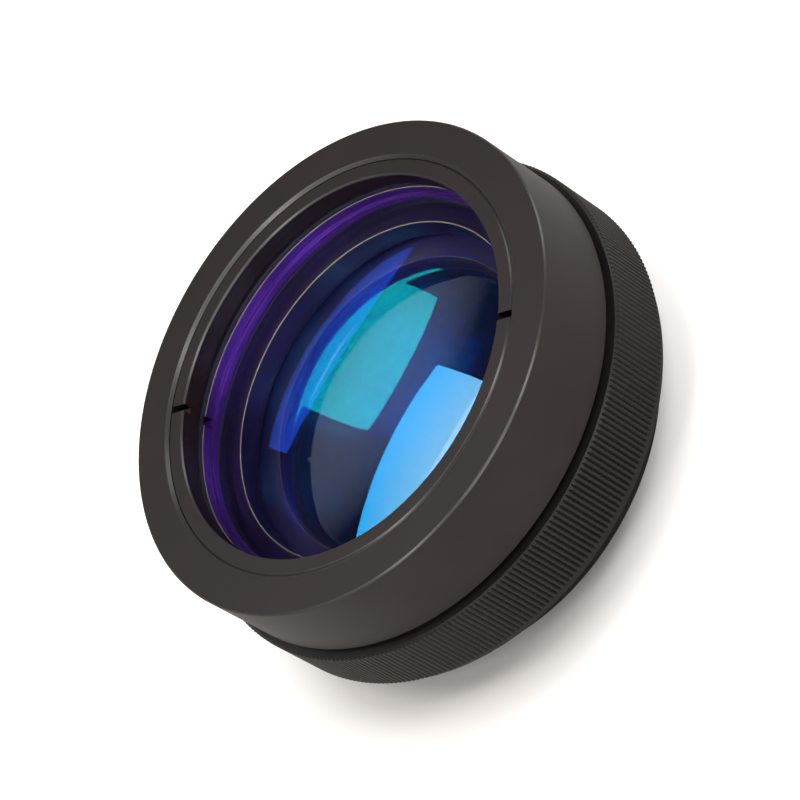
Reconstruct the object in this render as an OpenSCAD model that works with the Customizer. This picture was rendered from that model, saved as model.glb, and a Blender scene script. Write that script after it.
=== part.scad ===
// Laser scan lens (f-theta lens) in a turned, black anodised housing.
// The optical axis is Z. The origin is the centre of the rear end, where the
// mounting thread ends, and the window at the front faces +Z.
// Every place along the axis is given as a depth below the front face.

/* [Barrel] */
// Overall length, from the front face to the rear end
total_length = 41; // [41:0.5:48]
// Radius of the smooth barrel
barrel_r = 48; // [48:0.5:52]
// Depth at which the smooth barrel ends
barrel_end = 17.3; // [17:0.1:17.6]
// Chamfer on the front edge of the barrel
barrel_chamfer = 0.3; // [0.1:0.05:0.5]
// Radius of the neck at the bottom of the groove behind the barrel
neck_r = 44.6; // [44:0.1:45]
// Depth at which the neck ends and the rear mount begins
neck_end = 18.6; // [18.2:0.1:18.8]

/* [Knurled ring] */
// Number of straight teeth around the ring
tooth_count = 296; // [120:4:320]
// Radius over the tops of the teeth
tooth_top_r = 49.35; // [49:0.05:50]
// Depth of the grooves between the teeth
tooth_depth = 0.45; // [0.2:0.05:0.6]
// Share of the pitch that the flat top of a tooth takes
tooth_flat = 0.34; // [0.1:0.02:0.6]
// Depth at which the teeth begin
teeth_start = 18.5; // [18:0.1:18.8]
// Depth at which the teeth end
teeth_end = 31.7; // [30:0.1:31.8]

/* [Rear mount] */
// Major radius of the male mounting thread, M85 x 1
thread_r = 42.5; // [42.5:0.5:42.5]
// Radius of the seating flange above the thread
flange_r = 48; // [46:0.5:48]
// Depth at which the flange begins
flange_start = 32.4; // [32.2:0.1:32.6]
// Depth of the flange's seating face, where the thread side begins
flange_end = 33.6; // [33.4:0.1:34]
// Radius of the sleeve that carries the knurled ring
sleeve_r = 45.4; // [45.2:0.1:45.8]
// Chamfer on the free end of the thread
thread_chamfer = 0.5; // [0.3:0.1:0.8]

/* [Front ring and window] */
// Depth of the slotted ring's face below the front face
ring_recess = 0.35; // [0.2:0.05:0.6]
// Radius of the opening through the slotted ring
aperture_r = 37.2; // [36.8:0.1:37.6]
// Depth at which the slotted ring ends and the window begins
ring_end = 4.3; // [4:0.1:4.5]
// Width of the two spanner slots
slot_width = 1.2; // [0.8:0.1:2]
// Depth of the two spanner slots
slot_depth = 1.8; // [1:0.1:2.5]
// Thickness of the protective window
window_t = 3; // [2.6:0.1:3.2]
// Thickness of the gasket under the window
gasket_t = 0.8; // [0.6:0.1:0.9]

/* [Optics] */
// Radius of curvature of the output lens's hollow back; its front is flat
output_back_R = 455; // [400:5:480]
// Radius of curvature of the third lens's domed front
third_front_R = 110; // [106:2:200]
// Radius of curvature of the third lens's slightly domed back
third_back_R = 1000; // [700:50:1000]
// Radius of curvature of the second lens's domed back; its front is flat
second_back_R = 140; // [130:1:200]
// Radius of curvature of the entrance lens's hollow front
entrance_front_R = 310; // [200:10:500]
// Radius of curvature of the entrance lens's domed back
entrance_back_R = 750; // [500:10:1000]
// Radius of the opening through the spacer behind the output lens
front_spacer_r = 33.1; // [32.5:0.1:33.3]

/* [Hidden] */
$fn = 180;

// Radial play between a turned piece and the bore that it is in
play = 0.05;
// How far a cut runs past the face that it opens
past = 1;
// Small turned edge chamfer, and the ground bevel around a lens
edge = 0.25;
fine_edge = 0.12;

// The ends of the teeth are chamfered to just below the grooves
teeth_chamfer = tooth_depth + 0.1;

// Depths along the front housing's bores
window_start = ring_end;
window_end = window_start + window_t;
ledge = window_end + gasket_t;
lens_ring_step = ledge + 2;
output_start = 11.6;
output_end = 14.9;
third_start = 19;
third_end = 21.9;
third_seat_end = 23.4;
housing_end = 29;

// Depths along the entrance cell
cell_start = 24;
second_start = 25.2;
second_end = 28;
entrance_start = 30.2;
entrance_end = 35;
seal_end = 35.8;
rear_ring_end = 38.3;
cell_shoulder = 36;
cell_end = 38.5;

// Radii inside the housing
ring_bore_r = 40.4;
lens_ring_r = 39.6;
output_r = 38.5;
third_r = 36.6;
third_seat_r = 34;
rear_bore_r = 38;
spigot_r = 43;
cell_r = 37.35;
cell_flange_r = 38.6;
cell_lip_r = 28.6;
second_r = 31;
rear_spacer_r = 27;
entrance_clear_r = 26;
lens_ring_clear_r = 36.9;
lens_ring_mouth_r = 37.7;
spigot_socket_end = 29.5;
rear_aperture_r = 27;
inner_slot_depth = 1.4;

lock_screw_r = 1.25;
lock_screw_l = sleeve_r - spigot_r - 0.4;
lock_screw_depth = 24;
lock_screw_count = 3;
hex_key_r = 0.72;
hex_key_l = 0.9;

housing_color = [0.24, 0.22, 0.21];
knurl_color = [0.19, 0.19, 0.19];
inner_color = [0.07, 0.07, 0.07];
glass_color = [0.35, 0.45, 0.85, 0.5];
seal_color = [0.05, 0.05, 0.05];
screw_color = [0.3, 0.3, 0.3];

// Height above the rear end of a place at this depth below the front face
function height(depth) = total_length - depth;
// How far a sphere of radius R falls away at distance r from its axis
function sag(R, r) = R - sqrt(R * R - r * r);

// Solid of revolution between two depths, with a chamfer at either end
module turned(start, end, r, front_chamfer = 0, back_chamfer = 0) {
  l = end - start;
  translate([0, 0, height(end)])
    rotate_extrude()
      polygon([[0, 0], [r - back_chamfer, 0], [r, back_chamfer],
        [r, l - front_chamfer], [r - front_chamfer, l], [0, l]]);
}

// Bore between two depths, for cutting, with a countersink at either end
module bore(start, end, r, front_sink = 0, back_sink = 0) {
  turned(start, end, r);
  if (front_sink > 0)
    translate([0, 0, height(start + front_sink)])
      cylinder(h = front_sink + fine_edge, r1 = r, r2 = r + front_sink + fine_edge);
  if (back_sink > 0)
    translate([0, 0, height(end) - fine_edge])
      cylinder(h = back_sink + fine_edge, r1 = r + back_sink + fine_edge, r2 = r);
}

// Ring with a square section and broken edges
module plain_ring(start, end, r, r_in, chamfer = edge, bore_chamfer = fine_edge) {
  difference() {
    turned(start, end, r, chamfer, chamfer);
    bore(start - past, end + past, r_in);
    translate([0, 0, height(start + bore_chamfer)])
      cylinder(h = bore_chamfer + past, r1 = r_in, r2 = r_in + bore_chamfer + past);
    translate([0, 0, height(end) - past])
      cylinder(h = bore_chamfer + past, r1 = r_in + bore_chamfer + past, r2 = r_in);
  }
}

// Two opposite slots for a pin spanner, cut across a ring along X
module spanner_slots(start, depth, r, r_in) {
  for (side = [0, 180])
    rotate([0, 0, side])
      translate([r_in - past, -slot_width / 2, height(start + depth)])
        cube([r - r_in + 2 * past, slot_width, depth + past]);
}

// Cap of a sphere on a clear radius at depth d; way is 1 forwards, -1 backwards
module cap(d, R, clear, way) {
  rise = sag(R, clear);
  intersection() {
    translate([0, height(d) + way * (rise - R)])
      circle(r = R, $fn = 900);
    translate([0, height(d) - fine_edge - (way > 0 ? 0 : rise)])
      square([clear, rise + 2 * fine_edge]);
  }
}

// Lens with a flat seating land around each face. A positive radius of
// curvature domes that face outwards, a negative one hollows it, 0 leaves it flat.
module lens(start, end, r, front_R, front_clear, back_R, back_clear) {
  rotate_extrude($fn = 240)
    difference() {
      union() {
        translate([0, height(end)])
          polygon([[0, 0], [r - edge, 0], [r, edge], [r, end - start - edge],
            [r - edge, end - start], [0, end - start]]);
        if (front_R > 0)
          cap(start, front_R, front_clear, 1);
        if (back_R > 0)
          cap(end, back_R, back_clear, -1);
      }
      if (front_R < 0)
        cap(start, -front_R, front_clear, -1);
      if (back_R < 0)
        cap(end, -back_R, back_clear, 1);
    }
}

module front_housing() {
  color(housing_color)
    difference() {
      union() {
        turned(0, barrel_end, barrel_r, barrel_chamfer, edge);
        turned(barrel_end - past, neck_end, neck_r);
        turned(neck_end - past, housing_end, spigot_r, 0, edge);
      }
      turned(-past, ledge, ring_bore_r + play);
      translate([0, 0, height(edge)])
        cylinder(h = edge + past, r1 = ring_bore_r + play, r2 = ring_bore_r + play + edge + past);
      turned(ledge - past, output_start, lens_ring_r + play);
      turned(output_start - past, third_start, output_r + play);
      turned(third_start - past, third_end, third_r + play);
      turned(third_end - past, third_seat_end + past, third_seat_r);
      turned(third_seat_end, housing_end + past, rear_bore_r);
    }
}

// Prism that cuts one V groove between two teeth, along the whole band
module tooth_groove() {
  pitch = 360 / tooth_count;
  half_width = tooth_top_r * tan(pitch * (1 - tooth_flat) / 2);
  reach = 1 + fine_edge / tooth_depth;
  translate([tooth_top_r - tooth_depth, 0, height(teeth_end) - past])
    linear_extrude(teeth_end - teeth_start + 2 * past)
      polygon([[0, 0], [tooth_depth * reach, -half_width * reach],
        [tooth_depth * reach, half_width * reach]]);
}

module knurled_ring() {
  color(knurl_color)
    difference() {
      union() {
        difference() {
          turned(teeth_start, teeth_end, tooth_top_r, teeth_chamfer, teeth_chamfer);
          for (i = [0 : tooth_count - 1])
            rotate([0, 0, (i + 0.5) * 360 / tooth_count])
              tooth_groove();
        }
        turned(teeth_end - past, flange_start, sleeve_r + 1.5);
      }
      turned(teeth_start - past, flange_start + past, sleeve_r + play);
    }
}

module rear_mount() {
  color(knurl_color)
    difference() {
      union() {
        turned(neck_end, flange_start + past / 2, sleeve_r, fine_edge, 0);
        turned(flange_start, flange_end, flange_r, fine_edge, fine_edge);
        turned(flange_end - past / 2, total_length, thread_r, 0, thread_chamfer);
      }
      turned(neck_end - past, spigot_socket_end, spigot_r + play);
      turned(spigot_socket_end - past, cell_shoulder, cell_r + play);
      turned(cell_shoulder, total_length + past, cell_flange_r + play);
      for (i = [0 : lock_screw_count - 1])
        rotate([0, 0, i * 360 / lock_screw_count])
          translate([spigot_r - past, 0, height(lock_screw_depth)])
            rotate([0, 90, 0])
              cylinder(h = sleeve_r - spigot_r + 2 * past, r = lock_screw_r + play, $fn = 48);
    }
}

module front_ring() {
  color(housing_color)
    difference() {
      plain_ring(ring_recess, ring_end, ring_bore_r, aperture_r, edge, edge);
      spanner_slots(ring_recess, slot_depth, ring_bore_r, aperture_r);
    }
}

module protective_window() {
  color(glass_color)
    turned(window_start, window_end, ring_bore_r - 0.2, edge, edge);
}

module window_gasket() {
  color(seal_color)
    plain_ring(window_end, ledge, ring_bore_r - 0.2, lens_ring_mouth_r + 0.3, fine_edge);
}

module output_lens_ring() {
  color(inner_color)
    difference() {
      turned(ledge + play, output_start, lens_ring_r, fine_edge, fine_edge);
      turned(ledge - past, lens_ring_step, lens_ring_mouth_r);
      turned(lens_ring_step - past, output_start + past, lens_ring_clear_r);
      spanner_slots(ledge + play, inner_slot_depth, lens_ring_r, lens_ring_clear_r);
    }
}

module output_lens() {
  color(glass_color)
    lens(output_start, output_end, output_r, 0, 0, -output_back_R, lens_ring_clear_r);
}

module front_spacer() {
  color(inner_color)
    plain_ring(output_end, third_start, output_r, front_spacer_r);
}

module third_lens() {
  color(glass_color)
    lens(third_start, third_end, third_r, third_front_R, front_spacer_r, third_back_R,
      third_seat_r - 0.5);
}

module entrance_cell() {
  color(inner_color)
    difference() {
      union() {
        turned(cell_start, cell_end, cell_r, edge, 0);
        turned(cell_shoulder, cell_end, cell_flange_r, fine_edge, fine_edge);
      }
      turned(cell_start - past, second_start + past, cell_lip_r);
      turned(second_start, cell_end + past, second_r + play);
    }
}

module second_lens() {
  color(glass_color)
    lens(second_start, second_end, second_r, 0, 0, second_back_R, rear_spacer_r);
}

module rear_spacer() {
  color(inner_color)
    plain_ring(second_end, entrance_start, second_r, rear_spacer_r);
}

module entrance_lens() {
  color(glass_color)
    lens(entrance_start, entrance_end, second_r, -entrance_front_R, entrance_clear_r,
      entrance_back_R, entrance_clear_r);
}

module entrance_seal() {
  color(seal_color)
    plain_ring(entrance_end, seal_end, second_r, second_r - 2.6, fine_edge);
}

// The rear ring's slots open to the rear, so they are cut from below
module rear_ring() {
  color(inner_color)
    difference() {
      plain_ring(seal_end, rear_ring_end, second_r, rear_aperture_r);
      for (side = [0, 180])
        rotate([0, 0, side])
          translate([rear_aperture_r - past, -slot_width / 2, height(rear_ring_end) - past])
            cube([second_r - rear_aperture_r + 2 * past, slot_width, inner_slot_depth + past]);
    }
}

// Grub screws that lock the sleeve on the front housing, under the knurled ring
module lock_screws() {
  color(screw_color)
    for (i = [0 : lock_screw_count - 1])
      rotate([0, 0, i * 360 / lock_screw_count])
        translate([spigot_r + 2 * play, 0, height(lock_screw_depth)])
          rotate([0, 90, 0])
            difference() {
              cylinder(h = lock_screw_l, r = lock_screw_r, $fn = 48);
              translate([0, 0, lock_screw_l - hex_key_l])
                cylinder(h = hex_key_l + past, r = hex_key_r, $fn = 6);
            }
}

front_housing();
knurled_ring();
rear_mount();
front_ring();
protective_window();
window_gasket();
output_lens_ring();
output_lens();
front_spacer();
third_lens();
entrance_cell();
second_lens();
rear_spacer();
entrance_lens();
entrance_seal();
rear_ring();
lock_screws();
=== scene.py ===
"""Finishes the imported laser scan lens: anodised housings, a knurled ring, a fine
thread and a stack of coated glass, on a plain pale studio floor."""

import math

import bmesh
import bpy
from mathutils import Matrix, Vector


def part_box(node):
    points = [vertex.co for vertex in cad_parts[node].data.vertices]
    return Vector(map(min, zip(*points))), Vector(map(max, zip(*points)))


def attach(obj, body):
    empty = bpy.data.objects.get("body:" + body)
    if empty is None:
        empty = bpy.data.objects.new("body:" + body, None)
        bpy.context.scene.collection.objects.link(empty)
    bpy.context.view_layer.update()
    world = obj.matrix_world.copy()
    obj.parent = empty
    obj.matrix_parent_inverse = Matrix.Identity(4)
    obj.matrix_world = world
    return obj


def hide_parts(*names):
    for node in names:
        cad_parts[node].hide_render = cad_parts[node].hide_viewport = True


bl_info = {
    "name": "Scan Lens Finish",
    "version": (1, 0, 0),
    "blender": (4, 5, 0),
    "location": "View3D > Sidebar > Scan Lens",
    "description": "Turned, knurled and glass pieces of a laser scan lens, with their materials",
    "category": "Object",
}

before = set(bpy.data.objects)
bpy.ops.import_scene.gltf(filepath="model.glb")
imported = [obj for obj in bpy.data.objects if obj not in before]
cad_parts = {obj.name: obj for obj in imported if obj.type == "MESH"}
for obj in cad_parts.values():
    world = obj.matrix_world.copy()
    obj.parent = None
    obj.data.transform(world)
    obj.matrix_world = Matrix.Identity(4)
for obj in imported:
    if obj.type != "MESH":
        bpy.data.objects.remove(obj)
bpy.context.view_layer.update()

MM = 0.001
BODY = "root"
TOTAL_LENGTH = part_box("front_housing")[1][2] / MM
# Steps around a turned piece: 0.8 mm on the barrel, too fine to show as flats
TURN_STEPS = 360
# Steps around the lenses and the rings inside, which are smaller
INNER_STEPS = 256
# Vertices closer than this, in metres, become one
WELD = 1e-7
# Faces that turn by more than this meet in a sharp edge
SHARP_ANGLE = math.radians(35)


def node_radius(node):
    """Largest radius of a turned CAD node, in millimetres."""
    return round(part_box(node)[1][1] / MM, 5)


def node_depths(node):
    """Depths of a CAD node's front and back below the front face, in millimetres."""
    low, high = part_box(node)
    return round(TOTAL_LENGTH - high[2] / MM, 5), round(TOTAL_LENGTH - low[2] / MM, 5)


# Depths at which neighbouring pieces meet, in millimetres below the front face
WINDOW_START, WINDOW_END = node_depths("protective_window")
LEDGE = node_depths("window_gasket")[1]
OUTPUT_START, OUTPUT_END = node_depths("output_lens")
NECK_END = node_depths("rear_mount")[0]
THIRD_START = node_depths("front_spacer")[1]
THIRD_END = 21.9
SECOND_START = node_depths("second_lens")[0]
SECOND_END, ENTRANCE_START = node_depths("rear_spacer")
ENTRANCE_END = node_depths("entrance_seal")[0]
HOUSING_END = node_depths("front_housing")[1]
FLANGE_START = node_depths("knurled_ring")[1]
CELL_SHOULDER = 36.0

# Radii of the pieces that sit in a bore, in millimetres, and the play around each
PLAY = 0.05
RING_R = node_radius("front_ring")
WINDOW_R = RING_R - 0.2
LENS_RING_R = node_radius("output_lens_ring")
OUTPUT_R = 38.5
THIRD_R = node_radius("third_lens")
REAR_R = node_radius("second_lens")
CELL_R = 37.35
SPIGOT_R = 43.0
SLEEVE_R = 45.4

# Radii of the openings that the rings leave free for the glass, in millimetres
LENS_RING_OPENING = 36.9
FRONT_SPACER_OPENING = 33.1
THIRD_SEAT_OPENING = 34.0
REAR_SPACER_OPENING = 27.0
ENTRANCE_CLEAR = 26.0


# ---------------------------------------------------------------- properties


def millimetres(name, description, default):
    """A size, in the camera's unit, which is the one that Blender shows in millimetres."""
    return bpy.props.FloatProperty(
        name=name, description=description, default=default, min=0.0, unit="CAMERA"
    )


def share(name, description, default):
    """A plain number between nothing and about one."""
    return bpy.props.FloatProperty(
        name=name, description=description, default=default, min=0.0, soft_max=1.0, subtype="FACTOR"
    )


def linear(hex_colour):
    """An sRGB hex colour as a linear RGBA."""
    values = [int(hex_colour[i : i + 2], 16) / 255 for i in (1, 3, 5)]
    return [v / 12.92 if v <= 0.04045 else ((v + 0.055) / 1.055) ** 2.4 for v in values] + [1.0]


def colour(name, description, hex_colour):
    """A linear RGBA whose default is given as an sRGB hex colour."""
    return bpy.props.FloatVectorProperty(
        name=name, description=description, default=linear(hex_colour), size=4,
        min=0.0, max=1.0, subtype="COLOR",
    )


class HousingSettings(bpy.types.PropertyGroup):
    """Sizes and colours of the turned metal pieces"""

    edge_round: millimetres("Edge round", "How far back the housing's edges are broken in mm", 0.072)
    groove_r: millimetres("Neck radius", "Radius at the bottom of the groove in mm", 44.6)
    tooth_count: bpy.props.IntProperty(name="Teeth", description="Teeth around the ring", default=296)
    tooth_depth: millimetres("Tooth depth", "Depth of the knurl's grooves in mm", 0.45)
    tooth_flat: share("Tooth flat", "Share of the pitch that a tooth's top takes", 0.34)
    thread_pitch: millimetres("Thread pitch", "Pitch of the mounting thread in mm", 1.0)
    thread_depth: millimetres("Thread depth", "Depth of the mounting thread in mm", 0.61)
    fine_round: millimetres("Fine round", "How far back the rings' edges are broken in mm", 0.05)
    slot_width: millimetres("Slot width", "Width of the spanner slots in mm", 1.2)
    slot_depth: millimetres("Slot depth", "Depth of the front ring's slots in mm", 1.8)
    inner_slot_depth: millimetres("Inner slot depth", "Depth of the inner rings' slots in mm", 1.4)
    barrel_colour: colour("Barrel", "Black-brown anodising of the barrel", "#1a1210")
    ring_colour: colour("Ring", "Black anodising of the knurled ring and mount", "#181412")
    inner_colour: colour("Inside", "Black anodising inside", "#0c0818")
    # Grey anodising, lightened to mauve: partly the cell's own grey, partly a painted reflection for
    # the mauve veil deep in the glass
    cell_and_veil_colour: colour("Cell", "Grey anodising of the rear cell", "#352e40")
    chamfer_colour: colour("Chamfers", "Black anodising of the cut chamfers", "#2c2826")
    # The olive on the inner edges is a painted highlight: it stands in for the light these cut edges
    # catch
    edge_highlight_colour: colour("Inner edges", "Thin olive anodising of the cut inner edges", "#7c7452")
    # The violet is a painted reflection: it stands in for the purple that the coated glass mirrors
    # over this black ring
    violet_reflection_colour: colour("Violet", "Black anodising whose dye shows violet in the light", "#1c0c2c")


class GlassSettings(bpy.types.PropertyGroup):
    """Curvatures and film colours of the polished faces"""

    output_back_R: millimetres("Output back", "Radius of its hollow back in mm", 455.0)
    third_front_R: millimetres("Third front", "Radius of its domed front in mm", 110.0)
    third_back_R: millimetres("Third back", "Radius of its domed back in mm", 1000.0)
    second_back_R: millimetres("Second back", "Radius of its domed back in mm", 140.0)
    entrance_front_R: millimetres("Entrance front", "Radius of its hollow front in mm", 310.0)
    entrance_back_R: millimetres("Entrance back", "Radius of its domed back in mm", 750.0)
    window_front: colour("Window front", "Film colour of the window's front", "#9a60ff")
    window_back: colour("Window back", "Film colour of the window's back", "#7040e0")
    output_front: colour("Output front", "Film colour of its flat front", "#8040ff")
    output_back: colour("Output back", "Film colour of its hollow back", "#e0e8ff")
    third_front: colour("Third front", "Film colour of its domed front", "#10b8f6")
    third_head_on: colour("Third head on", "Film colour of its front where met head on", "#98e2ff")
    third_back: colour("Third back", "Film colour of its domed back", "#1c54d8")
    second_front: colour("Second front", "Film colour of its flat front", "#b090e0")
    second_back: colour("Second back", "Film colour of its domed back", "#00dcc8")
    entrance_front: colour("Entrance front", "Film colour of its hollow front", "#00b8e8")
    entrance_back: colour("Entrance back", "Film colour of its domed back", "#10a0ff")


class StageSettings(bpy.types.PropertyGroup):
    """Camera, floor and lamps"""

    lens: millimetres("Lens", "Focal length of the camera in mm", 172.66)
    lamp_level: share("Lamps", "Share of the lamps' set power", 1.0)
    floor_lift: share("Floor lift", "Light that lifts the looked-at paper to white", 0.64)
    world_level: share("Room", "Brightness of the dim room around the lamps", 0.06)


# ---------------------------------------------------------------- mesh helpers


def depth_point(radius, depth):
    """Point of a section, in metres, at a radius and a depth below the front face."""
    return Vector((radius * MM, 0.0, (TOTAL_LENGTH - depth) * MM))


def new_piece(name, bm, materials, replaces=()):
    """Makes an object of a bmesh, parents it under its body, gives it its materials and hides the CAD
    nodes it replaces.
    """
    bmesh.ops.remove_doubles(bm, verts=bm.verts, dist=WELD)
    bmesh.ops.recalc_face_normals(bm, faces=bm.faces)
    mesh = bpy.data.meshes.new(name)
    bm.to_mesh(mesh)
    bm.free()
    for material in materials:
        mesh.materials.append(material)
    mesh.shade_smooth()
    mesh.set_sharp_from_angle(angle=SHARP_ANGLE)
    piece = bpy.data.objects.new(name, mesh)
    bpy.context.scene.collection.objects.link(piece)
    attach(piece, BODY)
    if replaces:
        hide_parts(*replaces)
    return piece


def weigh_normals(piece):
    """Keeps the shading of the flats flat beside the rounded edges."""
    weighted = piece.modifiers.new("flat_faces", "WEIGHTED_NORMAL")
    weighted.keep_sharp = True


def square_section(inner, outer, start, end):
    """Outline of a plain ring between two radii and two depths."""
    return [(inner, start), (outer, start), (outer, end), (inner, end)]


def spun_section(outline, edge_round=0.0, steps=TURN_STEPS):
    """bmesh of a closed section of (radius, depth) points, its corners rounded, spun about Z."""
    bm = bmesh.new()
    bm.faces.new([bm.verts.new(depth_point(r, d)) for r, d in outline])
    if edge_round > 0:
        corners = [v for v in bm.verts if v.co.x > WELD]
        bmesh.ops.bevel(
            bm,
            geom=corners,
            affect="VERTICES",
            offset=edge_round * MM,
            segments=3,
            profile=0.5,
            material=-1,
            clamp_overlap=True,
        )
    section = max(bm.faces, key=lambda f: f.calc_area())
    bmesh.ops.delete(bm, geom=[section], context="FACES_ONLY")
    on_axis = [e for e in bm.edges if all(v.co.x < WELD for v in e.verts)]
    bmesh.ops.delete(bm, geom=on_axis, context="EDGES")
    bmesh.ops.spin(
        bm,
        geom=bm.verts[:] + bm.edges[:],
        cent=(0, 0, 0),
        axis=(0, 0, 1),
        angle=math.tau,
        steps=steps,
        use_merge=True,
        use_duplicate=False,
    )
    bmesh.ops.remove_doubles(bm, verts=bm.verts, dist=WELD)
    return bm


# ---------------------------------------------------------------- materials


def new_material(name):
    """A material and its node tree, emptied."""
    material = bpy.data.materials.new(name)
    material.use_nodes = True
    material.node_tree.nodes.clear()
    return material, material.node_tree


def add_node(tree, kind, settings=None, **links):
    """Adds a node, sets its attributes and inputs, and links inputs to sockets.

    A key of settings that is an input's name or number sets that input; any other key is an
    attribute. A link is input_name=socket, with underscores for spaces, or _number=socket."""
    node = tree.nodes.new(kind)
    for key, value in (settings or {}).items():
        if isinstance(key, int) or key in node.inputs:
            node.inputs[key].default_value = value
        else:
            setattr(node, key, value)
    for key, socket in links.items():
        name = int(key[1:]) if key[0] == "_" and key[1:].isdigit() else key.replace("_", " ")
        tree.links.new(socket, node.inputs[name])
    return node


def stretched(tree, noise, middle, reach):
    """Noise, most of which lies between 0.3 and 0.7, spread over a reach either side of a middle."""
    return add_node(
        tree,
        "ShaderNodeMapRange",
        {"From Min": 0.3, "From Max": 0.7, "To Min": middle - reach, "To Max": middle + reach},
        Value=noise,
    ).outputs["Result"]


def anodised(name, dye, roughness, grain_strength, grain_mm=0.12, ior=1.36, mottle=0.12):
    """Dyed anodised aluminium: a hard oxide film whose bead-blasted grain scatters a soft
    highlight, and whose dye varies a little from place to place."""
    material, tree = new_material(name)
    coords = add_node(tree, "ShaderNodeTexCoord").outputs["Object"]
    grain = add_node(
        tree,
        "ShaderNodeTexNoise",
        {"Scale": 1.0 / (grain_mm * MM), "Detail": 3.0, "Roughness": 0.6},
        Vector=coords,
    ).outputs["Fac"]
    cloud = add_node(
        tree, "ShaderNodeTexNoise", {"Scale": 90.0, "Detail": 2.0}, Vector=coords
    ).outputs["Fac"]
    shade = stretched(tree, cloud, 1, mottle)
    base = add_node(
        tree,
        "ShaderNodeMix",
        {"data_type": "RGBA", "blend_type": "MULTIPLY", 0: 1.0, 6: dye},
        _7=shade,
    ).outputs[2]
    rough = stretched(tree, grain, roughness, 0.05)
    bump = add_node(
        tree,
        "ShaderNodeBump",
        {"Strength": grain_strength, "Distance": grain_mm * MM * 0.3},
        Height=grain,
    ).outputs["Normal"]
    surface = add_node(
        tree,
        "ShaderNodeBsdfPrincipled",
        {"IOR": ior},
        Base_Color=base,
        Roughness=rough,
        Normal=bump,
    ).outputs["BSDF"]
    add_node(tree, "ShaderNodeOutputMaterial", Surface=surface)
    return material


def turned(name, dye, roughness, ior=1.6, sheen_hex="#ffffff"):
    """Anodising over fresh lathe marks: the grooves run round the axis, so a lamp's mirror
    image is drawn out into a streak across them."""
    material, tree = new_material(name)
    coords = add_node(tree, "ShaderNodeTexCoord").outputs["Object"]
    rings = add_node(
        tree, "ShaderNodeMapping", {"Scale": (1.0, 1.0, 40.0)}, Vector=coords
    ).outputs["Vector"]
    marks = add_node(
        tree, "ShaderNodeTexNoise", {"Scale": 160.0, "Detail": 4.0}, Vector=rings
    ).outputs["Fac"]
    rough = stretched(tree, marks, roughness, 0.02)
    tangent = add_node(
        tree, "ShaderNodeTangent", {"direction_type": "RADIAL", "axis": "Z"}
    ).outputs["Tangent"]
    surface = add_node(
        tree,
        "ShaderNodeBsdfPrincipled",
        {
            "Base Color": dye, "IOR": ior, "Specular Tint": linear(sheen_hex),
            "Anisotropic": 0.85, "Anisotropic Rotation": 0.25,
        },
        Roughness=rough,
        Tangent=tangent,
    ).outputs["BSDF"]
    add_node(tree, "ShaderNodeOutputMaterial", Surface=surface)
    return material


def coated_glass(name, gain, film, head_on):
    """Polished glass under an anti-reflection film: clear, with a mirror image in the film's
    colour, which can be another one where the face is met head on. A gain above 1 makes the
    image brighter than bare glass would, and one below 1 dimmer."""
    ior = 1.5
    # What one face lets through, of what is seen and of a lamp's light: slightly less red and green
    seen_through = (0.985, 0.982, 1.0, 1.0)
    lit_through = (0.9, 0.9, 0.95, 1.0)
    # Lean of a ray, from 0 head on to 1 along the face, over which the colour changes
    lean_from, lean_to = 0.15, 0.27
    material, tree = new_material(name)
    bare = add_node(tree, "ShaderNodeFresnel", {"IOR": ior}).outputs["Fac"]
    mirrored = add_node(
        tree, "ShaderNodeMath", {"operation": "MULTIPLY", 1: gain, "use_clamp": True}, _0=bare
    ).outputs[0]
    bent = add_node(
        tree, "ShaderNodeBsdfRefraction", {"Color": seen_through, "IOR": ior, "Roughness": 0.0}
    ).outputs[0]
    lean = add_node(tree, "ShaderNodeLayerWeight", {"Blend": 0.5}).outputs["Facing"]
    change = add_node(
        tree, "ShaderNodeMapRange", {"From Min": lean_from, "From Max": lean_to}, Value=lean
    ).outputs["Result"]
    tint = add_node(
        tree, "ShaderNodeMix", {"data_type": "RGBA", 6: head_on, 7: film}, _0=change
    ).outputs[2]
    mirror = add_node(
        tree, "ShaderNodeBsdfAnisotropic", {"Roughness": 0.0}, Color=tint
    ).outputs[0]
    glass = add_node(tree, "ShaderNodeMixShader", _0=mirrored, _1=bent, _2=mirror).outputs[0]
    lamp_ray = add_node(tree, "ShaderNodeLightPath").outputs["Is Shadow Ray"]
    clear = add_node(tree, "ShaderNodeBsdfTransparent", {"Color": lit_through}).outputs[0]
    surface = add_node(tree, "ShaderNodeMixShader", _0=lamp_ray, _1=glass, _2=clear).outputs[0]
    add_node(tree, "ShaderNodeOutputMaterial", Surface=surface)
    return material


def blackened_steel():
    """Oil-blackened steel: a dark metal with a dull mirror image."""
    material, tree = new_material("blackened_steel")
    surface = add_node(
        tree,
        "ShaderNodeBsdfPrincipled",
        {"Base Color": linear("#3a3836"), "Metallic": 1.0, "Roughness": 0.35},
    ).outputs["BSDF"]
    add_node(tree, "ShaderNodeOutputMaterial", Surface=surface)
    return material


def dull_black(name):
    """Moulded nitrile rubber, or the paint on a lens's ground rim: black, with a dull sheen."""
    material, tree = new_material(name)
    surface = add_node(
        tree, "ShaderNodeBsdfPrincipled", {"Base Color": linear("#101010"), "Roughness": 0.6}
    ).outputs["BSDF"]
    add_node(tree, "ShaderNodeOutputMaterial", Surface=surface)
    return material


# ---------------------------------------------------------------- turned pieces


def finish_slopes(bm, index, deepest=1.0, least_radius=0.0):
    """Gives the chamfers and broken edges down to a depth the material at an index."""
    flattest, steepest = 0.97, 0.3
    bm.normal_update()
    for f in bm.faces:
        middle = f.calc_center_median()
        if (
            steepest < abs(f.normal.z) < flattest
            and middle.xy.length > least_radius * MM
            and middle.z > depth_point(0, deepest).z
        ):
            f.material_index = index


def turned_piece(name, bm, materials):
    """Makes a spun bmesh the piece that stands in for the CAD node of that name."""
    weigh_normals(new_piece(name + "_turned", bm, materials, [name]))


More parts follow.
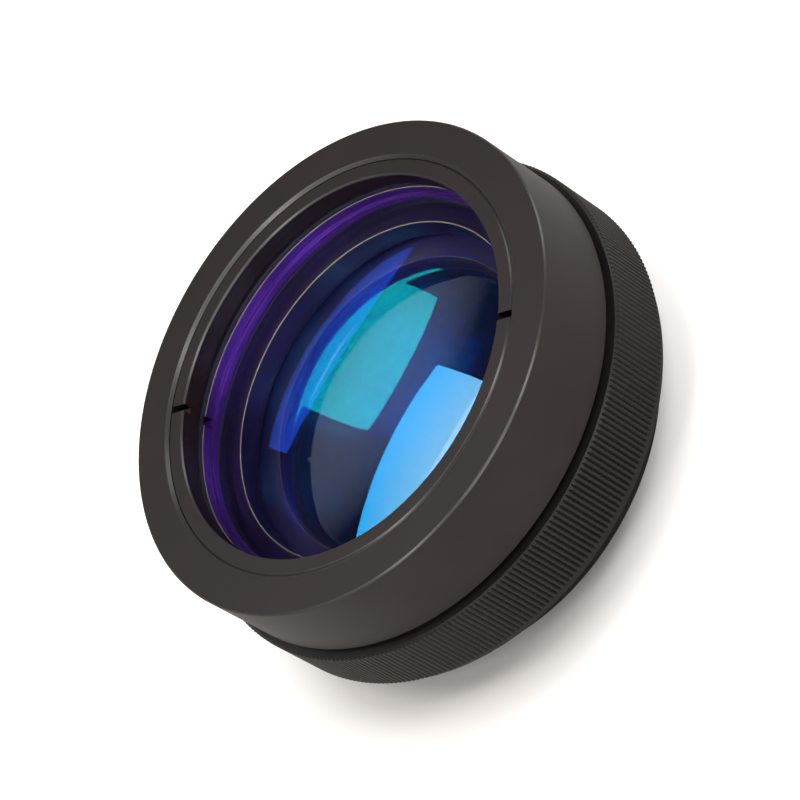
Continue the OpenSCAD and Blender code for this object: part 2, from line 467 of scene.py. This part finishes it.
class LENS_OT_front_housing(bpy.types.Operator):
    """Turns the barrel that carries the front glass"""

    bl_idname = "scan_lens.front_housing"
    bl_label = "Front housing"

    def execute(self, context):
        s = context.scene.lens_housing
        outer = node_radius("front_housing")
        barrel_end = 17.3
        front_chamfer, back_chamfer = 0.3, 0.25
        mouth_width, mouth_depth = 0.65, 0.5
        mouth = RING_R + PLAY
        third_seat_end = 23.4
        rear_bore = 38.0
        outline = [
            (mouth + mouth_width, 0.0), (outer - front_chamfer, 0.0), (outer, front_chamfer),
            (outer, barrel_end - back_chamfer), (outer - back_chamfer, barrel_end),
            (s.groove_r, barrel_end), (s.groove_r, NECK_END), (SPIGOT_R, NECK_END),
            (SPIGOT_R, HOUSING_END), (rear_bore, HOUSING_END), (rear_bore, third_seat_end),
            (THIRD_SEAT_OPENING, third_seat_end), (THIRD_SEAT_OPENING, THIRD_END),
            (THIRD_R + PLAY, THIRD_END), (THIRD_R + PLAY, THIRD_START),
            (OUTPUT_R + PLAY, THIRD_START), (OUTPUT_R + PLAY, OUTPUT_START),
            (LENS_RING_R + PLAY, OUTPUT_START), (LENS_RING_R + PLAY, LEDGE),
            (mouth, LEDGE), (mouth, mouth_depth),
        ]
        blasted = anodised("anodised_barrel", s.barrel_colour, 0.48, 0.25)
        chamfer = turned("anodised_chamfer", s.chamfer_colour, 0.36)
        bm = spun_section(outline, s.edge_round)
        finish_slopes(bm, 1)
        turned_piece("front_housing", bm, [blasted, chamfer])
        return {"FINISHED"}


class LENS_OT_knurled_ring(bpy.types.Operator):
    """Cuts the straight teeth of the grip ring"""

    bl_idname = "scan_lens.knurled_ring"
    bl_label = "Knurled ring"

    def execute(self, context):
        s = context.scene.lens_housing
        front, back = node_depths("knurled_ring")
        top = node_radius("knurled_ring")
        teeth_back = back - 0.7
        bore = SLEEVE_R + PLAY
        hub = SLEEVE_R + 1.5
        groove = top - s.tooth_depth
        pitch = math.tau / s.tooth_count
        chamfer = s.tooth_depth + 0.1
        bm = bmesh.new()
        # One tooth: radii, and angles in pitches either side of its middle
        section = [
            (bore, -0.5), (groove, -0.5), (top, -s.tooth_flat / 2),
            (top, s.tooth_flat / 2), (groove, 0.5), (bore, 0.5),
        ]
        verts = [
            bm.verts.new(Matrix.Rotation(a * pitch, 3, "Z") @ depth_point(r, teeth_back))
            for r, a in section
        ]
        face = bm.faces.new(verts)
        grown = bmesh.ops.extrude_face_region(bm, geom=[face])
        raised = [g for g in grown["geom"] if isinstance(g, bmesh.types.BMVert)]
        bmesh.ops.translate(bm, verts=raised, vec=(0, 0, (teeth_back - front) * MM))
        crest = [
            e for e in bm.edges
            if all(v.co.xy.length > (top - 0.01) * MM for v in e.verts)
            and abs(e.verts[0].co.z - e.verts[1].co.z) > MM
        ]
        crest_round = 0.09
        bmesh.ops.bevel(
            bm, geom=crest, affect="EDGES", offset=crest_round * MM, segments=2, profile=0.5,
            material=-1,
        )
        for depth, up in ((front, 1), (teeth_back, -1)):
            cut = bmesh.ops.bisect_plane(
                bm,
                geom=bm.verts[:] + bm.edges[:] + bm.faces[:],
                plane_co=depth_point(top - chamfer, depth),
                plane_no=Vector((1, 0, up)).normalized(),
                clear_outer=True,
            )
            loop = [g for g in cut["geom_cut"] if isinstance(g, bmesh.types.BMEdge)]
            bmesh.ops.holes_fill(bm, edges=loop)
        # The two walls against the neighbouring teeth, where nothing shows
        sides = [
            f for f in bm.faces
            if abs(f.normal.z) < 0.1 and abs(f.normal.dot(f.calc_center_median().normalized())) < 0.2
            and f.calc_center_median().xy.length < groove * MM
        ]
        bmesh.ops.delete(bm, geom=sides, context="FACES")
        bmesh.ops.spin(
            bm, geom=bm.verts[:] + bm.edges[:] + bm.faces[:], cent=(0, 0, 0), axis=(0, 0, 1),
            angle=math.tau, steps=s.tooth_count, use_duplicate=True, use_merge=False,
        )
        # Neighbouring teeth meet within this, in metres
        tooth_weld = 2e-6
        bmesh.ops.remove_doubles(bm, verts=bm.verts, dist=tooth_weld)
        material = anodised("anodised_knurl", s.ring_colour, 0.46, 0.2)
        new_piece("knurled_ring_teeth", bm, [material], ["knurled_ring"])
        hub_bm = spun_section(square_section(bore, hub, teeth_back, back), s.fine_round)
        new_piece("knurled_ring_hub", hub_bm, [material])
        return {"FINISHED"}


class LENS_OT_rear_mount(bpy.types.Operator):
    """Turns the rear mount and cuts its fine thread"""

    bl_idname = "scan_lens.rear_mount"
    bl_label = "Rear mount"

    def execute(self, context):
        s = context.scene.lens_housing
        flange = node_radius("rear_mount")
        flange_end = 33.6
        major = 42.5
        minor = major - s.thread_depth
        relief = 41.7
        relief_end = 34.5
        taper_start, taper = 40.5, 0.1
        spigot_socket, socket_end = SPIGOT_R + PLAY, 29.5
        cell_socket = CELL_R + PLAY
        rear_socket = node_radius("entrance_cell") + PLAY
        outline = [
            (spigot_socket, NECK_END), (SLEEVE_R, NECK_END), (SLEEVE_R, FLANGE_START),
            (flange, FLANGE_START), (flange, flange_end), (relief, flange_end),
            (relief, relief_end), (minor, relief_end), (minor, taper_start),
            (minor - taper, TOTAL_LENGTH), (rear_socket, TOTAL_LENGTH),
            (rear_socket, CELL_SHOULDER), (cell_socket, CELL_SHOULDER), (cell_socket, socket_end),
            (spigot_socket, socket_end),
        ]
        material = anodised("anodised_mount", s.ring_colour, 0.38, 0.2)
        bm = spun_section(outline, edge_round=0.08)
        turned_piece("rear_mount", bm, [material])
        thread_start, thread_end = relief_end + 0.1, 40.2
        thread = helical_ridge(major, s.thread_depth, s.thread_pitch, thread_start, thread_end)
        new_piece("rear_mount_thread", thread, [material])
        return {"FINISHED"}


def helical_ridge(major, depth, pitch, start, end, steps_per_turn=120):
    """bmesh of a helical ridge, wound up a turned core, whose foot is sunk into the core."""
    bm = bmesh.new()
    turns = (end - start) / pitch - 1
    root = major - depth - 0.04
    half = pitch / 2
    foot, crest = half * 0.98, half * 0.14
    bottom = end - half
    section = [
        (root, bottom + foot), (major, bottom + crest),
        (major, bottom - crest), (root, bottom - foot),
    ]
    verts = [bm.verts.new(depth_point(r, d)) for r, d in section]
    face = bm.faces.new(verts)
    steps = int(turns * steps_per_turn)
    bmesh.ops.spin(
        bm, geom=[face], cent=(0, 0, 0), axis=(0, 0, 1), angle=turns * math.tau, steps=steps,
        dvec=(0, 0, turns * pitch * MM / steps), use_merge=False, use_duplicate=False,
    )
    return bm


class LENS_OT_lock_screws(bpy.types.Operator):
    """Gives the three lock screws their blackened steel"""

    bl_idname = "scan_lens.lock_screws"
    bl_label = "Lock screws"

    def execute(self, context):
        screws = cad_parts["lock_screws"].data
        screws.materials.clear()
        screws.materials.append(blackened_steel())
        return {"FINISHED"}


class LENS_OT_front_ring(bpy.types.Operator):
    """Turns the front retaining ring and cuts its two spanner slots"""

    bl_idname = "scan_lens.front_ring"
    bl_label = "Front ring"

    def execute(self, context):
        s = context.scene.lens_housing
        front, back = node_depths("front_ring")
        inner = 37.2
        inner_chamfer, outer_chamfer = 0.3, 0.35
        outline = [
            (inner, front + inner_chamfer), (inner + inner_chamfer, front),
            (RING_R - outer_chamfer, front), (RING_R, front + outer_chamfer),
            (RING_R, back), (inner, back),
        ]
        bm = spun_section(outline, s.fine_round)
        cut_slots(bm, front, s.slot_width, s.slot_depth)
        blasted = anodised("anodised_ring", s.barrel_colour, 0.46, 0.25)
        wall = turned("anodised_ring_wall", s.barrel_colour, 0.36, 1.22)
        chamfer = turned("anodised_ring_chamfer", s.chamfer_colour, 0.36)
        wall_reach = inner + 0.02
        for f in bm.faces:
            f.material_index = int(f.calc_center_median().xy.length < wall_reach * MM)
        finish_slopes(bm, 2, least_radius=inner)
        piece = new_piece(
            "front_ring_slotted", bm, [blasted, wall, chamfer], ["front_ring"]
        )
        weigh_normals(piece)
        return {"FINISHED"}


def cut_slots(bm, end, width, depth, way=1):
    """Cuts two opposite slots across a turned ring, along X, into its end at a depth.

    end is the depth of that end, and way is 1 for a front end and -1 for a back end."""
    floor_depth = end + way * depth
    for edge in (1, -1):
        bmesh.ops.bisect_plane(
            bm, geom=bm.verts[:] + bm.edges[:] + bm.faces[:],
            plane_co=(0, edge * width / 2 * MM, 0), plane_no=(0, 1, 0),
        )
    for side in (1, -1):
        region = [
            f for f in bm.faces
            if f.calc_center_median().x * side > 0
            and abs(f.calc_center_median().y) < width / 2 * MM
        ]
        geom = list({g for f in region for g in (*f.verts, *f.edges)}) + region
        bmesh.ops.bisect_plane(
            bm, geom=geom, plane_co=depth_point(0, floor_depth), plane_no=(0, 0, way), clear_outer=True
        )
        rims = [e for e in bm.edges if e.is_boundary and e.verts[0].co.x * side > 0]
        low = [e for e in rims if is_at_depth(e, floor_depth)]
        ends = [bm.edges.new(pair) for pair in ring_ends(low)]
        bmesh.ops.contextual_create(bm, geom=low + ends)
        for edge in (1, -1):
            wall = [
                e for e in bm.edges
                if e.is_boundary and e.verts[0].co.x * side > 0
                and all(abs(v.co.y - edge * width / 2 * MM) < WELD for v in e.verts)
            ]
            bmesh.ops.contextual_create(bm, geom=wall)


def is_at_depth(edge, depth):
    """Whether an edge lies level at a depth below the front face."""
    return all(abs(v.co.z - depth_point(0, depth).z) < WELD for v in edge.verts)


def ring_ends(edges):
    """Pairs of loose ends, inner and outer, that close two open runs of edges along a slot."""
    ends = [v for e in edges for v in e.verts if sum(v in o.verts for o in edges) == 1]
    left = sorted((v for v in ends if v.co.y < 0), key=lambda v: v.co.xy.length)
    right = sorted((v for v in ends if v.co.y > 0), key=lambda v: v.co.xy.length)
    return [pair for pair in (left, right) if len(pair) == 2]


class LENS_OT_inner_rings(bpy.types.Operator):
    """Turns the rings, spacers and the cell that hold the glass"""

    bl_idname = "scan_lens.inner_rings"
    bl_label = "Inner rings"

    def execute(self, context):
        s = context.scene.lens_housing
        inside = turned("anodised_turned_inside", s.inner_colour, 0.3, 1.45)
        # Grey of the cell and rear spacer, lightened to mauve as a painted reflection of the veil seen
        # deep through the glass
        grey = turned("anodised_grey_and_painted_veil", s.cell_and_veil_colour, 0.4)
        # Lighter olive with a warm sheen on the inner rings' front chamfers: a painted highlight for
        # their bright edge lines
        edge = turned("painted_edge_highlight", s.edge_highlight_colour, 0.4, 2.0, "#e4d890")
        # Violet base and violet sheen: a painted reflection of the purple from the coated glass in
        # front of this black ring
        violet = turned("painted_violet_reflection", s.violet_reflection_colour, 0.4, 2.5, "#a860ff")
        ring_start, ring_end = node_depths("output_lens_ring")
        step, mouth = LEDGE + 2.0, 37.7
        cell_start, cell_end = node_depths("entrance_cell")
        cell_flange = node_radius("entrance_cell")
        lip, cell_bore = 28.6, REAR_R + PLAY
        # Node: outline and finish
        rings = {
            "output_lens_ring": ([
                (mouth, ring_start), (LENS_RING_R, ring_start), (LENS_RING_R, ring_end),
                (LENS_RING_OPENING, ring_end), (LENS_RING_OPENING, step), (mouth, step),
            ], violet),
            "front_spacer": (
                square_section(FRONT_SPACER_OPENING, OUTPUT_R, *node_depths("front_spacer")), inside
            ),
            "entrance_cell": ([
                (lip, cell_start), (CELL_R, cell_start), (CELL_R, CELL_SHOULDER),
                (cell_flange, CELL_SHOULDER), (cell_flange, cell_end), (cell_bore, cell_end),
                (cell_bore, SECOND_START), (lip, SECOND_START),
            ], grey),
            "rear_spacer": (
                square_section(REAR_SPACER_OPENING, REAR_R, *node_depths("rear_spacer")), grey
            ),
            "rear_ring": (
                square_section(REAR_SPACER_OPENING, REAR_R, *node_depths("rear_ring")), inside
            ),
        }
        # Node: the end that its two slots are cut into, and which way they go
        slots = {
            "output_lens_ring": (ring_start, 1),
            "rear_ring": (node_depths("rear_ring")[1], -1),
        }
        for name, (outline, finish) in rings.items():
            bm = spun_section(outline, edge_round=0.18, steps=INNER_STEPS)
            if name in slots:
                end, way = slots[name]
                cut_slots(bm, end, s.slot_width, s.inner_slot_depth, way)
            # Only the front edges, which show through the glass, take the painted edge highlight
            finish_slopes(bm, 1, deepest=outline[0][1] + 0.25)
            turned_piece(name, bm, [finish, edge])
        seal = dull_black("nitrile_rubber")
        seals = {"window_gasket": (38.0, WINDOW_R), "entrance_seal": (28.4, REAR_R)}
        for name, (inner, outer) in seals.items():
            outline = square_section(inner, outer, *node_depths(name))
            bm = spun_section(outline, edge_round=0.1, steps=INNER_STEPS)
            turned_piece(name, bm, [seal])
        return {"FINISHED"}


def sag(R, r):
    """How far a sphere of radius R falls away at distance r from its axis; 0 is a flat."""
    return math.copysign(abs(R) - math.sqrt(R * R - r * r), R) if R else 0.0


def lens_section(start, end, r, front_R, front_clear, back_R, back_clear, arc_steps=24):
    """Section of a lens with a flat land around each polished face.

    A positive radius domes a face outwards, a negative one hollows it and 0 leaves it flat."""
    play = 0.01
    bevel = 0.3
    points = []
    for i in range(arc_steps + 1):
        x = front_clear * i / arc_steps
        points.append((x, start + play - sag(front_R, front_clear) + sag(front_R, x)))
    points += [(r - bevel, start + play), (r - play, start + bevel)]
    points += [(r - play, end - bevel), (r - bevel, end - play)]
    for i in range(arc_steps, -1, -1):
        x = back_clear * i / arc_steps
        points.append((x, end - play + sag(back_R, back_clear) - sag(back_R, x)))
    return points


def lens_piece(name, shape, coats):
    """Spins a lens and gives each polished face its own coating and the rest black paint."""
    start, end, _, _, front_clear, _, back_clear = shape
    bm = spun_section(lens_section(*shape), steps=INNER_STEPS)
    middle = depth_point(0, (start + end) / 2)
    for f in bm.faces:
        centre = f.calc_center_median()
        front = centre.z > middle.z
        clear = front_clear if front else back_clear
        f.material_index = 2 if centre.xy.length > clear * MM else (0 if front else 1)
    new_piece(name + "_polished", bm, coats, [name])


class LENS_OT_glass(bpy.types.Operator):
    """Grinds, coats and blackens the window and the four lenses"""

    bl_idname = "scan_lens.glass"
    bl_label = "Glass"

    def execute(self, context):
        s = context.scene.lens_glass
        rim = dull_black("black_edge_paint")
        window_clear = 39.0
        third_back_clear = THIRD_SEAT_OPENING - 0.5
        second_front_clear = 28.0
        # Node: depths of its lands, radius of its rim, then front and back radius of curvature,
        # each with how far out it is polished; then front and back gain, film and head-on colour
        glass = {
            "protective_window": (
                (WINDOW_START, WINDOW_END, WINDOW_R, 0, window_clear, 0, window_clear),
                (0.8, s.window_front, s.window_front),
                (0.6, s.window_back, s.window_back),
            ),
            "output_lens": (
                (OUTPUT_START, OUTPUT_END, OUTPUT_R,
                 0, LENS_RING_OPENING, -s.output_back_R, LENS_RING_OPENING),
                (1.0, s.output_front, s.output_front),
                (0.8, s.output_back, s.output_back),
            ),
            "third_lens": (
                (THIRD_START, THIRD_END, THIRD_R,
                 s.third_front_R, FRONT_SPACER_OPENING, s.third_back_R, third_back_clear),
                (4.6, s.third_front, s.third_head_on),
                (5.0, s.third_back, s.third_back),
            ),
            "second_lens": (
                (SECOND_START, SECOND_END, REAR_R,
                 0, second_front_clear, s.second_back_R, REAR_SPACER_OPENING),
                (3.0, s.second_front, s.second_front),
                (12.0, s.second_back, s.second_back),
            ),
            "entrance_lens": (
                (ENTRANCE_START, ENTRANCE_END, REAR_R,
                 -s.entrance_front_R, ENTRANCE_CLEAR, s.entrance_back_R, ENTRANCE_CLEAR),
                (3.0, s.entrance_front, s.entrance_front),
                (2.5, s.entrance_back, s.entrance_back),
            ),
        }
        for name, (shape, front, back) in glass.items():
            coats = [
                coated_glass(name + "_front_coat", *front),
                coated_glass(name + "_back_coat", *back),
                rim,
            ]
            lens_piece(name, shape, coats)
        return {"FINISHED"}


class LENS_OT_stage(bpy.types.Operator):
    """Sets the floor, the lamps and the camera"""

    bl_idname = "scan_lens.stage"
    bl_label = "Stage"

    def execute(self, context):
        s = context.scene.lens_stage
        scene = context.scene
        floor_size = 6.0
        bpy.ops.mesh.primitive_plane_add(size=floor_size, location=(0, 0, 0))
        floor = context.object
        floor.name = "studio_floor"
        floor.data.materials.append(paper_white(s.floor_lift))
        place_camera(scene, s)
        for name, direction, size, roll, tilt, watts in SOFTBOXES:
            softbox(name, direction, size, roll, tilt, watts * s.lamp_level)
        studio_world(scene, s.world_level)
        # Ten polished faces, crossed on the way in and again on the way out
        scene.cycles.max_bounces = 26
        scene.cycles.transmission_bounces = 24
        scene.view_settings.view_transform = "Standard"
        return {"FINISHED"}


# Name, azimuth and elevation in degrees, width and height in metres, roll and the two tilts in
# degrees, and watts at level 1
SOFTBOXES = (
    ("softbox_overhead", (169.1, 71.5), (0.637, 0.704), 73.0, (-8.3, 7.3), 8.0),
    ("softbox_camera_side", (-36.0, 15.0), (0.5, 0.4), 0.0, (0.0, 0.0), 6.0),
    ("softbox_right", (62.0, 25.0), (0.34, 0.5), 0.0, (0.0, 0.0), 2.2),
    ("softbox_high_right", (4.0, 50.0), (0.26, 0.4), 0.0, (0.0, 0.0), 3.0),
    ("softbox_front", (-92.0, 50.0), (0.24, 0.4), 0.0, (0.0, 0.0), 2.4),
)


def paper_white(lift):
    """Matt white paper. Looked at, past the lens or through its glass, it is lifted towards white,
    except in a painted shadow round the lens, while the light it throws on the lens stays that of
    paper."""
    material, tree = new_material("white_paper")
    diffuse = add_node(tree, "ShaderNodeBsdfDiffuse", {"Color": linear("#cfcac6")}).outputs[0]
    path = add_node(tree, "ShaderNodeLightPath")
    seen = add_node(
        tree, "ShaderNodeMath", {"operation": "MAXIMUM"},
        _0=path.outputs["Is Camera Ray"], _1=path.outputs["Is Transmission Ray"],
    ).outputs[0]
    # The lift fades out around the lens, a painted shadow on the floor, and comes back in part below
    # its glass, a painted glow of the light through it
    shadow_shift = (0.002, 0.012, 0.0)
    shadow_inside, shadow_outside = 0.039, 0.058
    below_inside, below_outside, below_share = 0.028, 0.038, 0.6
    place = add_node(tree, "ShaderNodeTexCoord").outputs["Object"]
    shaded = add_node(
        tree, "ShaderNodeMapping", {"Location": shadow_shift}, Vector=place
    ).outputs["Vector"]
    reach = add_node(
        tree, "ShaderNodeVectorMath", {"operation": "LENGTH"}, _0=shaded
    ).outputs["Value"]
    outside = add_node(
        tree,
        "ShaderNodeMapRange",
        {"From Min": shadow_inside, "From Max": shadow_outside, "To Max": lift},
        Value=reach,
    ).outputs["Result"]
    below = add_node(
        tree, "ShaderNodeVectorMath", {"operation": "LENGTH"}, _0=place
    ).outputs["Value"]
    through = add_node(
        tree,
        "ShaderNodeMapRange",
        {
            "From Min": below_inside, "From Max": below_outside,
            "To Min": lift * below_share, "To Max": 0.0,
        },
        Value=below,
    ).outputs["Result"]
    painted_shadow_lift = add_node(
        tree, "ShaderNodeMath", {"operation": "MAXIMUM"}, _0=outside, _1=through
    ).outputs[0]
    strength = add_node(
        tree, "ShaderNodeMath", {"operation": "MULTIPLY"}, _0=seen, _1=painted_shadow_lift
    ).outputs[0]
    glow = add_node(
        tree, "ShaderNodeEmission", {"Color": linear("#ffffff")}, Strength=strength
    ).outputs[0]
    both = add_node(tree, "ShaderNodeAddShader", _0=diffuse, _1=glow).outputs[0]
    add_node(tree, "ShaderNodeOutputMaterial", Surface=both)
    return material


def studio_world(scene, level):
    """A dim room: white where it is looked at, and grey low down where glass or metal shows it."""
    wall_level = 0.3
    wall_start, wall_end = 0.1, 0.3
    world = bpy.data.worlds.new("studio")
    scene.world = world
    world.use_nodes = True
    tree = world.node_tree
    tree.nodes.clear()
    coords = add_node(tree, "ShaderNodeTexCoord").outputs["Generated"]
    height = add_node(tree, "ShaderNodeSeparateXYZ", _0=coords).outputs["Z"]
    wall = add_node(
        tree,
        "ShaderNodeMapRange",
        {
            "interpolation_type": "SMOOTHSTEP", "From Min": wall_start, "From Max": wall_end,
            "To Min": wall_level, "To Max": level,
        },
        Value=height,
    ).outputs["Result"]
    path = add_node(tree, "ShaderNodeLightPath")
    seen = add_node(
        tree, "ShaderNodeMath", {"operation": "MAXIMUM"},
        _0=path.outputs["Is Glossy Ray"], _1=path.outputs["Is Transmission Ray"],
    ).outputs[0]
    mirrored = add_node(
        tree, "ShaderNodeMix", {"data_type": "FLOAT", 2: level}, _0=seen, _3=wall
    ).outputs[0]
    strength = add_node(
        tree, "ShaderNodeMix", {"data_type": "FLOAT", 3: 1.0},
        _0=path.outputs["Is Camera Ray"], _2=mirrored,
    ).outputs[0]
    back = add_node(
        tree, "ShaderNodeBackground", {"Color": linear("#ffffff")}, Strength=strength
    ).outputs[0]
    add_node(tree, "ShaderNodeOutputWorld", Surface=back)


def softbox(name, direction, size, roll, tilt, watts, distance=0.9, target=(0, 0, 0.02)):
    """Rectangular area lamp that looks at the lens from a direction, less its own tilts."""
    lamp = bpy.data.lights.new(name, "AREA")
    lamp.shape = "RECTANGLE"
    lamp.size, lamp.size_y = size
    lamp.energy = watts
    azimuth, elevation = (math.radians(angle) for angle in direction)
    out = Vector((
        math.cos(azimuth) * math.cos(elevation),
        math.sin(azimuth) * math.cos(elevation),
        math.sin(elevation),
    ))
    across = Vector((-math.sin(azimuth), math.cos(azimuth), 0))
    turn = Matrix((across, out.cross(across), out)).transposed()
    turn = turn @ Matrix.Rotation(math.radians(roll), 3, "Z")
    turn = turn @ Matrix.Rotation(-math.radians(tilt[0]), 3, "Y")
    turn = turn @ Matrix.Rotation(math.radians(tilt[1]), 3, "X")
    holder = bpy.data.objects.new(name, lamp)
    holder.matrix_world = Matrix.Translation(Vector(target) + out * distance) @ turn.to_4x4()
    holder.visible_camera = False
    bpy.context.scene.collection.objects.link(holder)


def place_camera(scene, s):
    """Long lens, looking down at the front face, rolled about 59 degrees."""
    eye = Vector((429.84, -297.64, 480.54)) * MM
    right = Vector((0.75767, 0.10265, -0.64451)).normalized()
    forward = Vector((-0.61832, 0.42892, -0.65857)).normalized()
    up = right.cross(forward).normalized()
    right = forward.cross(up)
    camera = bpy.data.cameras.new("camera")
    camera.lens = s.lens
    camera.sensor_width = 36.0
    holder = bpy.data.objects.new("camera", camera)
    turn = Matrix((right, up, -forward)).transposed().to_4x4()
    holder.matrix_world = Matrix.Translation(eye) @ turn
    scene.collection.objects.link(holder)
    scene.camera = holder


class LENS_PT_panel(bpy.types.Panel):
    """Lists the pieces of the scan lens"""

    bl_idname = "LENS_PT_panel"
    bl_label = "Scan Lens"
    bl_space_type = "VIEW_3D"
    bl_region_type = "UI"
    bl_category = "Scan Lens"

    def draw(self, context):
        for operator in OPERATORS:
            self.layout.operator(operator.bl_idname)


OPERATORS = (
    LENS_OT_stage,
    LENS_OT_front_housing,
    LENS_OT_knurled_ring,
    LENS_OT_rear_mount,
    LENS_OT_lock_screws,
    LENS_OT_front_ring,
    LENS_OT_inner_rings,
    LENS_OT_glass,
)
SETTINGS = {
    "lens_housing": HousingSettings,
    "lens_glass": GlassSettings,
    "lens_stage": StageSettings,
}


def register():
    """Registers the settings, the operators and the panel."""
    for kind in (*SETTINGS.values(), *OPERATORS, LENS_PT_panel):
        bpy.utils.register_class(kind)
    for name, kind in SETTINGS.items():
        setattr(bpy.types.Scene, name, bpy.props.PointerProperty(type=kind))


def unregister():
    """Takes back what register did."""
    for name in SETTINGS:
        delattr(bpy.types.Scene, name)
    for kind in reversed((*SETTINGS.values(), *OPERATORS, LENS_PT_panel)):
        bpy.utils.unregister_class(kind)


def main():
    """Builds the stage and every piece."""
    register()
    for operator in OPERATORS:
        getattr(bpy.ops.scan_lens, operator.bl_idname.split(".")[1])()


if __name__ == "__main__":
    main()
